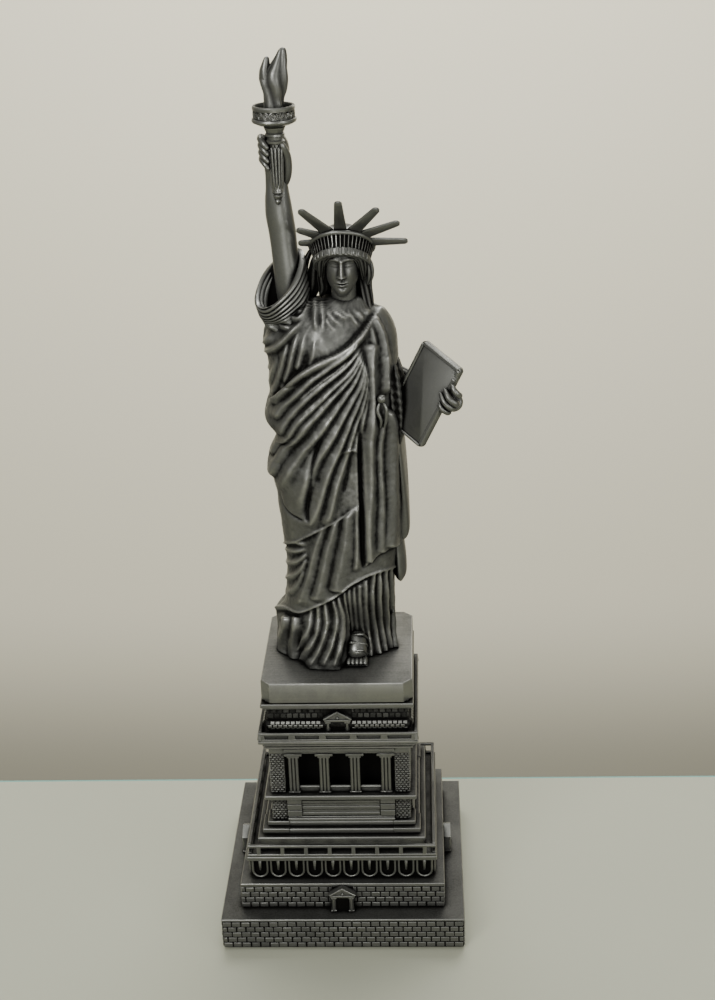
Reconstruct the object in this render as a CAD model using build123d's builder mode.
"""A cast-metal desk model of a robed figure holding up a torch, on a stepped pedestal.

Hollow castings are stacked on one long tie rod, which screws into the figure's shoulders.
Millimetres. +Z is up, -Y is the front, and the origin is the centre of the felt pad's underside.
"""

from build123d import *
import math
import os

os.makedirs("parts", exist_ok=True)

# ---------------------------------------------------------------- driving dimensions
WALL = 2.4  # thickness of the pedestal castings
DECK = 2.2  # thickness of their tops
FIT = 0.05  # radial room round the tie rod
ROD_R = 2.0  # tie rod radius
ROD_HOLE_R = ROD_R + FIT

PAD_W, PAD_T = 85.0, 0.8  # felt pad

# Heights of the joints between the stacked castings, from the bottom up.
Z_BASE = PAD_T
Z_FORT = 13.4
Z_SHIELDS = 23.9
Z_PODIUM = 33.7
Z_LOGGIA = 53.3
Z_BALCONY = 74.4
Z_ATTIC = 78.8
Z_PLINTH = 93.0
Z_FEET = 101.1

# Outer widths of the square castings.
W_BASE = 88.0
W_FORT = 74.0
W_SHIELD_WALL = 65.0
W_TERRACE = 68.8
W_STEPS = (60.8, 56.6, 53.0)
W_STOREY = 50.3
W_LOGGIA_FLOOR = 54.7
W_BALCONY = 56.7
W_ATTIC = 49.6
W_ATTIC_CAP = 53.9
W_PLINTH = 53.2
PLINTH_CHAMFER = 3.2

# The central bay on each side of the podium and the loggia.
BAY_W = 39.0
COLUMN_PITCH = 11.05
COLUMN_W = 3.6
RECESS_DEPTH = 7.0  # from the loggia's face to the wall behind its columns

# The figure.
HEAD_X, HEAD_Y, HEAD_Z = 6.3, -4.0, 247.0
Z_NECK = 229.0
TORCH_X, TORCH_Y = -13.4, -4.0
Z_GALLERY = 289.2
Z_FLAME = 293.6
Z_TIP = 313.2
BAND_TILT = 40.0  # rise of the crown band above the horizontal, towards the front
RAY_TILT = 50.0
RAY_ANGLES = (-90, -62, -35, 0, 35, 62, 90)
RAY_Z = 251.7
RAY_REACH = 21.4
TABLET_SIZE = (18.0, 31.5, 2.4)
TABLET_CENTRE = (31.6, -9.0, 200.6)
TABLET_ACROSS = (12.2, -11.4, -7.0)  # directions of the tablet's short and long edges
TABLET_UP = (13.7, -2.8, 28.4)

SIDES = PolarLocations(0, 4)  # the four faces of the pedestal


def square(width, z0, z1):
    """Adds a square block between two heights to the current part."""
    with Locations((0, 0, (z0 + z1) / 2)):
        Box(width, width, z1 - z0)


def hollow(width, z0, z1):
    """Cuts a square cavity, and the tie rod's hole above it, from the current part."""
    with Locations((0, 0, (z0 + z1) / 2)):
        Box(width, width, z1 - z0, mode=Mode.SUBTRACT)


def rod_hole(z0, z1, radius=ROD_HOLE_R):
    """Cuts the tie rod's hole between two heights."""
    with Locations((0, 0, (z0 + z1) / 2)):
        Cylinder(radius, z1 - z0, mode=Mode.SUBTRACT)


def each_side(pieces):
    """Copies pieces made on the front face to the four faces."""
    return [piece.rotate(Axis.Z, 90 * turn) for turn in range(4) for piece in pieces]


def write(shape, name):
    """Labels a finished piece and writes it as its own STEP file."""
    shape.label = name
    export_step(shape, f"parts/{name}.step")


# ---------------------------------------------------------------- pedestal castings
def felt_pad():
    with BuildPart() as pad:
        square(PAD_W, 0, PAD_T)
    return pad.part


def course_grooves(width, z0, z1, courses, depth=0.35, height=0.45):
    """Cuts the level joints of a brick wall round a square block."""
    rise = (z1 - z0) / courses
    for course in range(1, courses):
        z = z0 + course * rise
        with BuildSketch(Plane.XY.offset(z - height / 2)) as joint:
            Rectangle(width + 1, width + 1)
            Rectangle(width - 2 * depth, width - 2 * depth, mode=Mode.SUBTRACT)
        extrude(joint.sketch, amount=height, mode=Mode.SUBTRACT)


def base_plinth():
    with BuildPart() as base:
        square(W_BASE, Z_BASE, Z_FORT)
        hollow(W_BASE - 2 * WALL, Z_BASE, Z_FORT - DECK)
        rod_hole(Z_FORT - DECK, Z_FORT)
        course_grooves(W_BASE, Z_BASE, Z_FORT, 5)
    return base.part


def fort_block():
    with BuildPart() as fort:
        square(W_FORT, Z_FORT, Z_SHIELDS)
        hollow(W_FORT - 2 * WALL, Z_FORT, Z_SHIELDS - DECK)
        rod_hole(Z_SHIELDS - DECK, Z_SHIELDS)
        course_grooves(W_FORT, Z_FORT, Z_SHIELDS, 4)
    return fort.part


def portico(half_w, z0, eaves, ridge, door_half_w, door_top, face, depth):
    """A gabled doorway that stands out from the front face."""
    with BuildPart() as door:
        with BuildSketch(Plane.XZ.offset(face)):
            with BuildLine():
                Polyline(
                    (-half_w, z0), (half_w, z0), (half_w, eaves), (0, ridge), (-half_w, eaves),
                    close=True,
                )
            make_face()
            with BuildLine():
                Polyline(
                    (-door_half_w, z0), (-door_half_w, door_top), (door_half_w, door_top),
                    (door_half_w, z0), close=True,
                )
            make_face(mode=Mode.SUBTRACT)
        extrude(amount=depth)
    return door.part


def fort_porticos():
    door = portico(4.7, Z_FORT, 20.6, 23.4, 2.7, 18.4, W_FORT / 2, 2.8)
    return Compound(children=each_side([door]))


def shield_terrace():
    slab_z = 32.1
    with BuildPart() as terrace:
        square(W_SHIELD_WALL, Z_SHIELDS, slab_z)
        square(W_TERRACE, slab_z, Z_PODIUM)
        hollow(W_SHIELD_WALL - 2 * WALL, Z_SHIELDS, Z_PODIUM - DECK)
        rod_hole(Z_PODIUM - DECK, Z_PODIUM)
    return terrace.part


def shield():
    """One round-bottomed shield with a raised rim and a tapered bar."""
    half_w, bottom, top, rim = 2.55, 24.2, 32.1, 0.55
    face = W_SHIELD_WALL / 2
    centre_z = bottom + half_w
    with BuildPart() as plate:
        with BuildSketch(Plane.XZ.offset(face)):
            with Locations((0, centre_z)):
                Circle(half_w)
            with Locations((0, (centre_z + top) / 2)):
                Rectangle(2 * half_w, top - centre_z)
        extrude(amount=0.5)
        with BuildSketch(Plane.XZ.offset(face + 0.5)):
            with Locations((0, centre_z)):
                Circle(half_w)
            with Locations((0, (centre_z + top) / 2)):
                Rectangle(2 * half_w, top - centre_z)
            with Locations((0, centre_z)):
                Circle(half_w - rim, mode=Mode.SUBTRACT)
            with Locations((0, (centre_z + top) / 2)):
                Rectangle(2 * (half_w - rim), top - centre_z, mode=Mode.SUBTRACT)
            with BuildLine():
                Polyline((-0.7, top), (0.7, top), (0.4, 28.2), (-0.4, 28.2), close=True)
            make_face()
        extrude(amount=0.9)
    return plate.part


def shields(count=10, pitch=6.65):
    one = shield()
    row = [one.translate(((i - (count - 1) / 2) * pitch, 0, 0)) for i in range(count)]
    return Compound(children=each_side(row))


def ring(outer, inner, z0, z1):
    """Adds a square ring between two heights to the current part."""
    with BuildSketch(Plane.XY.offset(z0)) as outline:
        Rectangle(outer, outer)
        Rectangle(inner, inner, mode=Mode.SUBTRACT)
    extrude(outline.sketch, amount=z1 - z0)


def terrace_railing():
    outer, inner, rail_top, post_w, pitch, posts = 68.0, 65.4, 38.4, 1.3, 8.56, 8
    mid = (outer + inner) / 4
    with BuildPart() as railing:
        ring(outer, inner, Z_PODIUM, Z_PODIUM + 0.8)
        ring(outer, inner, rail_top - 1.0, rail_top)
        with Locations((0, 0, (Z_PODIUM + rail_top) / 2)):
            with PolarLocations(0, 4):
                with GridLocations(pitch, 0, posts, 1):
                    with Locations((0, mid)):
                        Box(post_w, (outer - inner) / 2, rail_top - Z_PODIUM)
    return railing.part


def podium_block():
    tops = (39.3, 41.5, 43.5)
    nosing, undercut = 1.4, 0.4
    bay_face = 25.9
    with BuildPart() as podium:
        floor = Z_PODIUM
        for width, top in zip(W_STEPS, tops):
            square(width - 2 * undercut, floor, top)
            square(width, top - nosing, top)
            floor = top
        square(W_STOREY, floor, Z_LOGGIA)
        with SIDES:
            with Locations((0, bay_face - 2, 43.9)):
                Box(BAY_W, 4.4, 1.2)
            for x in (-16.9, 16.9):
                with Locations((x, bay_face - 1.2, 48.9)):
                    Box(5.2, 2.0, 8.0)
            for z in (46.2, 48.7, 51.2):
                with Locations((0, bay_face - 1.2, z)):
                    Box(28.6, 1.2, 1.9)
        hollow(W_STOREY - 2 * WALL - 2, Z_PODIUM, Z_LOGGIA - DECK)
        rod_hole(Z_LOGGIA - DECK, Z_LOGGIA)
    return podium.part


def loggia_block():
    floor_z, recess_top = 55.0, 71.6
    recess_w = BAY_W + 0.8
    wall_y = W_STOREY / 2 - RECESS_DEPTH
    with BuildPart() as loggia:
        square(W_LOGGIA_FLOOR, Z_LOGGIA, floor_z)
        square(W_STOREY, floor_z, Z_BALCONY)
        with SIDES:
            with Locations((0, W_STOREY / 2 - RECESS_DEPTH / 2, (floor_z + recess_top) / 2)):
                Box(recess_w, RECESS_DEPTH, recess_top - floor_z, mode=Mode.SUBTRACT)
            with Locations((0, W_STOREY / 2 + 0.2, 72.9)):
                Box(BAY_W, 1.2, 2.6)
        hollow(2 * (wall_y - WALL), Z_LOGGIA, Z_BALCONY - DECK)
        rod_hole(Z_BALCONY - DECK, Z_BALCONY)
    return loggia.part


def column():
    """One square column with three reeds and a plain cap."""
    foot_z, cap_z, top_z = 55.0, 69.3, 71.6
    y = -(W_STOREY / 2 - 1.1)
    with BuildPart() as shaft:
        with Locations((0, y + 0.3, (foot_z + cap_z) / 2)):
            Box(COLUMN_W, 1.6, cap_z - foot_z)
        for x in (-1.2, 0, 1.2):
            with Locations((x, y - 0.45, (foot_z + cap_z) / 2)):
                Cylinder(0.62, cap_z - foot_z)
        with Locations((0, y, cap_z + 0.5)):
            Box(4.6, 2.4, 1.0)
        with Locations((0, y, (cap_z + 1.0 + top_z) / 2)):
            Box(6.3, 2.6, top_z - cap_z - 1.0)
    return shaft.part


def sill_rail():
    """The low bar between two columns."""
    with BuildPart() as rail:
        with Locations((0, -(W_STOREY / 2 - 0.8), 56.3)):
            Box(COLUMN_PITCH - COLUMN_W, 1.6, 2.6)
    return rail.part


def loggia_columns():
    shaft, rail = column(), sill_rail()
    row = [shaft.translate(((i - 1.5) * COLUMN_PITCH, 0, 0)) for i in range(4)]
    rails = [rail.translate(((i - 1) * COLUMN_PITCH, 0, 0)) for i in range(3)]
    colonnade = row[0].fuse(*row[1:], *rails)
    return Compound(children=each_side([colonnade.solid()]))


def balcony_slab():
    with BuildPart() as slab:
        square(52.9, Z_BALCONY, 75.2)
        square(53.9, 75.2, 77.4)
        square(W_BALCONY, 77.4, Z_ATTIC)
        rod_hole(Z_BALCONY, Z_ATTIC)
    return slab.part


def balcony_railing():
    outer, inner, rail_z, rail_top = W_BALCONY - 0.2, W_BALCONY - 3.0, 81.0, 82.0
    post_w, posts, pitch = 2.2, 6, 11.3
    panel = 0.45
    with BuildPart() as railing:
        ring(outer - 2 * panel, inner, Z_ATTIC, rail_z)
        ring(outer, inner - 0.3, rail_z, rail_top)
        with Locations((0, 0, (Z_ATTIC + rail_top) / 2)):
            with PolarLocations(0, 4):
                with GridLocations(pitch, 0, posts - 2, 1):
                    with Locations((0, outer / 2 - 0.9)):
                        Box(post_w, 1.8, rail_top - Z_ATTIC)
            with GridLocations(outer - post_w, outer - post_w, 2, 2):
                Box(post_w, post_w, rail_top - Z_ATTIC)
    return railing.part


def attic_block():
    cap_z, roll_z, roll_r = 91.4, 84.5, 1.6
    with BuildPart() as attic:
        square(W_ATTIC, Z_ATTIC, cap_z)
        with BuildSketch(Plane.XZ):
            with Locations((W_ATTIC / 2 - 0.65, roll_z)):
                Circle(roll_r)
        sweep(path=roll_path(roll_z, W_ATTIC / 2 - 0.65), transition=Transition.RIGHT)
        square(W_ATTIC_CAP, cap_z, Z_PLINTH)
        hollow(W_ATTIC - 2 * WALL - 2, Z_ATTIC, Z_PLINTH - DECK)
        rod_hole(Z_PLINTH - DECK, Z_PLINTH)
    return attic.part


def roll_path(z, half_w):
    """The square line that the attic's roll moulding follows."""
    with BuildLine(Plane.XY.offset(z), mode=Mode.PRIVATE) as line:
        Polyline(
            (half_w, 0), (half_w, half_w), (-half_w, half_w), (-half_w, -half_w),
            (half_w, -half_w), close=True,
        )
    return line.wire()


def attic_porticos(attic):
    door = portico(4.5, Z_ATTIC, 86.2, 89.4, 2.3, 84.7, W_ATTIC / 2, 1.75)
    doors = [main_solid(one - attic) for one in each_side([door])]
    return Compound(children=doors)


def main_solid(shape):
    """The largest solid of a shape, without the slivers that a cut leaves."""
    return max(shape.solids(), key=lambda solid: solid.volume)


def figure_plinth():
    gap = 0.25
    with BuildPart() as plinth:
        with BuildSketch(Plane.XY.offset(Z_PLINTH + gap)) as outline:
            Rectangle(W_PLINTH, W_PLINTH)
            chamfer(outline.vertices(), PLINTH_CHAMFER)
        extrude(amount=Z_FEET - Z_PLINTH - gap)
        square(W_PLINTH - 2.4, Z_PLINTH, Z_PLINTH + gap)
        hollow(W_PLINTH - 2 * WALL - 2, Z_PLINTH, Z_FEET - DECK)
        rod_hole(Z_FEET - DECK, Z_FEET)
    return plinth.part


# ---------------------------------------------------------------- figure castings
# Oval sections of the robe: height, left, right, front, back.
ROBE = (
    (101.1, -20.0, 20.0, -17.0, 17.0),
    (112.0, -18.2, 20.2, -16.5, 16.5),
    (128.0, -17.2, 21.5, -16.0, 16.0),
    (148.0, -17.0, 23.0, -15.5, 15.5),
    (170.0, -18.5, 22.5, -15.0, 15.0),
    (192.0, -19.0, 22.0, -14.5, 14.5),
    (210.0, -19.0, 21.8, -14.0, 13.5),
    (221.0, -17.5, 20.6, -12.5, 12.0),
    (227.0, -12.5, 17.0, -10.5, 10.5),
    (231.0, -2.0, 12.5, -8.0, 5.5),
)
ROBE_WALL = 3.0
ROD_TOP = 219.5


def loft_ovals(ovals):
    """Adds a loft through level ovals, each a height, a centre and two radii."""
    faces = []
    for z, x, y, x_radius, y_radius in ovals:
        with BuildSketch(Plane.XY.offset(z)) as oval:
            with Locations((x, y)):
                Ellipse(x_radius, y_radius)
        faces.append(oval.sketch.face())
    loft(faces)


def robe_ovals(rows, grow):
    """Turns rows of ROBE into ovals, made larger or smaller by grow."""
    return [
        (z, (left + right) / 2, (front + back) / 2, (right - left) / 2 + grow, (back - front) / 2 + grow)
        for z, left, right, front, back in rows
    ]


def robe_cavity():
    """The space inside the robe casting, open at the feet."""
    with BuildPart() as cavity:
        loft_ovals(robe_ovals([row for row in ROBE if row[0] < 215], -ROBE_WALL))
    return cavity.part


def robe_overlay():
    """The upper garment, whose hem slopes up towards the right."""
    slope = 0.55
    with BuildPart() as overlay:
        loft_ovals(robe_ovals([row for row in ROBE if 105 < row[0] < 224], 0.8))
        hem = Plane(origin=(2.0, 0, 125.0), z_dir=(-slope, 0, 1))
        split(bisect_by=hem, keep=Keep.TOP)
    return overlay.part


def figure_robe(overlay, cavity, *neighbours):
    foot_x, foot_w = 6.5, 6.6
    with BuildPart() as robe:
        loft_ovals(robe_ovals(ROBE, 0.0))
        add(overlay)
        add(cavity, mode=Mode.SUBTRACT)
        rod_hole(205, ROD_TOP)
        with Locations((foot_x, -16.5, Z_FEET + 1.75)):
            Box(foot_w, 5.0, 3.5)
        for piece in neighbours:
            add(piece, mode=Mode.SUBTRACT)
    return main_solid(robe.part)


def mantle_tail(*neighbours):
    """The end of the mantle, which hangs from the left forearm."""
    with BuildPart() as tail:
        loft_ovals(
            (
                (124.0, 22.6, 2.0, 1.8, 4.0),
                (146.0, 22.8, 1.0, 2.8, 6.0),
                (168.0, 22.4, 0.0, 3.0, 6.6),
                (190.0, 22.0, -1.0, 2.8, 6.4),
            )
        )
        for piece in neighbours:
            add(piece, mode=Mode.SUBTRACT)
    return main_solid(tail.part)


def raised_arm(handle):
    """The bare right arm and the fist round the torch, with a peg into the shoulder."""
    finger_r = 1.15
    with BuildPart() as arm:
        loft_ovals(
            (
                (230.0, -11.2, 1.0, 4.2, 4.2),
                (236.0, -11.8, 0.8, 4.3, 4.2),
                (242.0, -12.2, 0.6, 4.4, 4.2),
                (248.5, -12.6, 0.5, 4.4, 4.2),
                (255.0, -13.2, 0.4, 4.5, 4.2),
                (260.0, -13.8, 0.3, 4.5, 4.2),
                (266.0, -14.0, 0.1, 4.0, 3.7),
                (272.0, -14.0, 0.0, 3.3, 3.0),
                (276.5, -13.8, -1.4, 4.2, 3.8),
                (281.0, -13.8, -2.0, 4.6, 4.2),
                (285.5, -13.6, -2.4, 3.2, 3.2),
            )
        )
        with Locations((-11.2, 1.0, 226.0)):
            Cylinder(3.2, 9.0)
        for z in (277.2, 279.4, 281.6, 283.6):
            with Locations(Location((TORCH_X - 1.2, TORCH_Y - 2.4, z), (0, 75, -20))):
                Cylinder(finger_r, 5.6)
        add(handle, mode=Mode.SUBTRACT)
    return main_solid(arm.part)


def shoulder_sleeve(arm):
    """The sleeve that has slid down round the raised arm."""
    with BuildPart() as sleeve:
        loft_ovals(
            (
                (212.0, -12.5, 0.0, 7.6, 9.0),
                (220.0, -13.2, 0.0, 8.0, 9.0),
                (228.0, -14.2, 0.2, 8.2, 8.6),
                (236.0, -14.9, 0.4, 8.0, 7.6),
                (241.5, -14.6, 0.5, 6.8, 6.4),
                (245.0, -14.0, 0.5, 5.6, 5.4),
            )
        )
        add(arm, mode=Mode.SUBTRACT)
    return main_solid(sleeve.part)


def torch_handle():
    with BuildPart() as handle:
        with BuildSketch(Plane.XZ):
            with BuildLine():
                Polyline(
                    (0, 264.2), (0.7, 265.4), (1.3, 266.6), (0.9, 268.0), (1.7, 268.6),
                    (2.5, 284.6), (2.9, 285.1), (2.7, 286.0), (3.5, 288.4), (3.5, Z_GALLERY),
                    (0, Z_GALLERY), close=True,
                )
            make_face()
        revolve(axis=Axis.Z)
    return handle.part.translate((TORCH_X, TORCH_Y, 0))


def torch_gallery():
    with BuildPart() as gallery:
        with BuildSketch(Plane.XZ):
            with BuildLine():
                Polyline(
                    (0, Z_GALLERY), (3.4, Z_GALLERY), (7.0, 290.6), (7.2, 291.6), (6.7, 295.0),
                    (6.9, 295.8), (5.9, 295.8), (5.9, Z_FLAME), (0, Z_FLAME), close=True,
                )
            make_face()
        revolve(axis=Axis.Z)
    return gallery.part.translate((TORCH_X, TORCH_Y, 0))


def torch_flame():
    with BuildPart() as flame:
        loft_ovals(
            (
                (Z_FLAME, TORCH_X + 0.5, TORCH_Y, 3.2, 2.8),
                (297.4, TORCH_X + 0.5, TORCH_Y, 2.95, 2.6),
                (300.2, TORCH_X + 0.7, TORCH_Y, 4.0, 3.4),
                (303.6, TORCH_X + 1.0, TORCH_Y, 4.5, 3.8),
                (307.2, TORCH_X + 1.6, TORCH_Y, 3.7, 3.1),
                (310.6, TORCH_X + 2.9, TORCH_Y, 2.1, 1.8),
                (Z_TIP, TORCH_X + 3.5, TORCH_Y, 0.5, 0.4),
            )
        )
        loft_ovals(
            (
                (303.0, TORCH_X - 1.6, TORCH_Y, 2.2, 2.2),
                (307.0, TORCH_X - 1.2, TORCH_Y, 1.7, 1.7),
                (310.4, TORCH_X - 0.9, TORCH_Y, 0.4, 0.4),
            )
        )
    return flame.part


def tilted(rise, z):
    """A plane through the head's middle that rises towards the front."""
    angle = math.radians(rise)
    return Plane(
        origin=(HEAD_X, HEAD_Y, z), x_dir=(1, 0, 0), z_dir=(0, math.sin(angle), math.cos(angle))
    )


def diadem():
    """The flared crown band, open at the back, which carries the rays."""
    height, low_r, high_r, wall = 6.0, 8.9, 11.4, 1.8
    base = tilted(BAND_TILT, HEAD_Z)
    with BuildPart() as band:
        with BuildSketch(base.offset(-height / 2)) as low:
            Circle(low_r)
        with BuildSketch(base.offset(height / 2)) as high:
            Circle(high_r)
        loft([low.sketch.face(), high.sketch.face()])
        with BuildSketch(base.offset(-height / 2)) as low_hole:
            Circle(low_r - wall)
        with BuildSketch(base.offset(height / 2)) as high_hole:
            Circle(high_r - wall)
        loft([low_hole.sketch.face(), high_hole.sketch.face()], mode=Mode.SUBTRACT)
        with BuildSketch(base.offset(-height)):
            with Locations((0, 9.5)):
                Rectangle(30, 15)
        extrude(amount=2 * height, mode=Mode.SUBTRACT)
    return main_solid(band.part)


def head(band):
    """Head, hair and neck, with a peg into the robe."""
    with BuildPart() as skull:
        with Locations((HEAD_X, HEAD_Y, HEAD_Z)):
            Sphere(8.6)
        with Locations((HEAD_X, HEAD_Y - 2.4, 242.8)):
            Sphere(6.2)
        with Locations((HEAD_X, HEAD_Y + 6.0, 241.0)):
            Sphere(5.0)
        loft_ovals(
            (
                (Z_NECK - 3.0, 6.6, -3.0, 4.8, 4.6),
                (233.0, 6.6, -3.4, 4.1, 4.0),
                (237.0, 6.5, -3.7, 4.2, 4.1),
                (242.0, HEAD_X, HEAD_Y, 5.0, 5.0),
            )
        )
        add(band, mode=Mode.SUBTRACT)
    return main_solid(skull.part)


def crown_rays(band, skull, arm):
    """Seven tapered rays in one fan, soldered to the crown band."""
    root_r, root_w, tip_w, thick = 9.4, 3.5, 1.9, 1.3
    outline = (
        (-root_w / 2, -root_r), (root_w / 2, -root_r), (tip_w / 2, 0.6 - RAY_REACH),
        (tip_w / 4, -RAY_REACH), (-tip_w / 4, -RAY_REACH), (-tip_w / 2, 0.6 - RAY_REACH),
    )
    rays = []
    for angle in RAY_ANGLES:
        with BuildPart() as ray:
            with BuildSketch(tilted(RAY_TILT, RAY_Z).offset(-thick / 2)):
                with Locations(Location((0, 0, 0), (0, 0, angle))):
                    Polygon(*outline, align=None)
            extrude(amount=thick)
        rays.append(main_solid(ray.part - band - skull - arm))
    return Compound(children=rays)


def tablet_plane():
    """The tablet's middle plane, seen from its face, with local Y along its long edge."""
    across, up = Vector(*TABLET_ACROSS), Vector(*TABLET_UP)
    return Plane(origin=TABLET_CENTRE, x_dir=across, z_dir=across.cross(up))


def tablet():
    width, length, thick = TABLET_SIZE
    with BuildPart() as slab:
        with BuildSketch(tablet_plane().offset(-thick / 2)):
            RectangleRounded(width, length, 1.2)
        extrude(amount=thick)
    return slab.part


def tablet_arm(slab):
    """The left forearm in its sleeve, and the hand that holds the tablet's outer edge."""
    grip = tablet_plane().offset(-2.2)
    with BuildPart() as arm:
        with BuildSketch(Plane(origin=(17.0, 0.5, 201.0), z_dir=(1, -0.3, -0.05))) as elbow:
            Ellipse(7.0, 6.2)
        with BuildSketch(Plane(origin=(27.0, -2.5, 199.5), z_dir=(1, -0.4, -0.05))) as middle:
            Ellipse(4.4, 4.0)
        with BuildSketch(Plane(origin=(37.0, -8.5, 198.0), z_dir=(1, -0.8, -0.1))) as wrist:
            Ellipse(3.0, 2.6)
        loft([elbow.sketch.face(), middle.sketch.face(), wrist.sketch.face()])
        with BuildSketch(grip.offset(-1.6)) as palm:
            with Locations((8.0, -1.0)):
                RectangleRounded(6.4, 9.0, 1.5)
        extrude(palm.sketch, amount=6.4)
        add(slab, mode=Mode.SUBTRACT)
    return main_solid(arm.part)


# ---------------------------------------------------------------- fastening
ROD_BOTTOM = 3.6
STRAP_Z = Z_FORT - DECK


def tie_rod():
    with BuildPart() as rod:
        with Locations((0, 0, (ROD_BOTTOM + ROD_TOP) / 2)):
            Cylinder(ROD_R, ROD_TOP - ROD_BOTTOM)
    return rod.part


def spread_washer():
    """The wide washer that presses the stack together under the base's deck."""
    with BuildPart() as washer:
        with Locations((0, 0, STRAP_Z - 0.75)):
            Cylinder(9.0, 1.5)
            Cylinder(ROD_HOLE_R, 1.5, mode=Mode.SUBTRACT)
    return washer.part


def hex_nut():
    with BuildPart() as nut:
        with BuildSketch(Plane.XY.offset(STRAP_Z - 1.5 - 3.2)):
            RegularPolygon(radius=3.5, side_count=6, major_radius=False)
            Circle(ROD_HOLE_R, mode=Mode.SUBTRACT)
        extrude(amount=3.2)
    return nut.part


def main():
    write(felt_pad(), "felt_pad")
    write(base_plinth(), "base_plinth")
    write(fort_block(), "fort_block")
    write(fort_porticos(), "fort_porticos")
    write(shield_terrace(), "shield_terrace")
    write(shields(), "shields")
    write(terrace_railing(), "terrace_railing")
    write(podium_block(), "podium_block")
    write(loggia_block(), "loggia_block")
    write(loggia_columns(), "loggia_columns")
    write(balcony_slab(), "balcony_slab")
    write(balcony_railing(), "balcony_railing")
    attic = attic_block()
    write(attic, "attic_block")
    write(attic_porticos(attic), "attic_porticos")
    write(figure_plinth(), "figure_plinth")

    handle = torch_handle()
    arm = raised_arm(handle)
    sleeve = shoulder_sleeve(arm)
    band = diadem()
    skull = head(band)
    slab = tablet()
    left_arm = tablet_arm(slab)
    tail = mantle_tail(left_arm, slab)
    robe = figure_robe(robe_overlay(), robe_cavity(), sleeve, arm, skull, left_arm, slab, tail)
    write(robe, "figure_robe")
    write(tail, "mantle_tail")
    write(sleeve, "shoulder_sleeve")
    write(arm, "raised_arm")
    write(handle, "torch_handle")
    write(torch_gallery(), "torch_gallery")
    write(torch_flame(), "torch_flame")
    write(skull, "head")
    write(band, "diadem")
    write(crown_rays(band, skull, arm), "crown_rays")
    write(left_arm, "tablet_arm")
    write(slab, "tablet")
    write(tie_rod(), "tie_rod")
    write(spread_washer(), "spread_washer")
    write(hex_nut(), "hex_nut")


main()
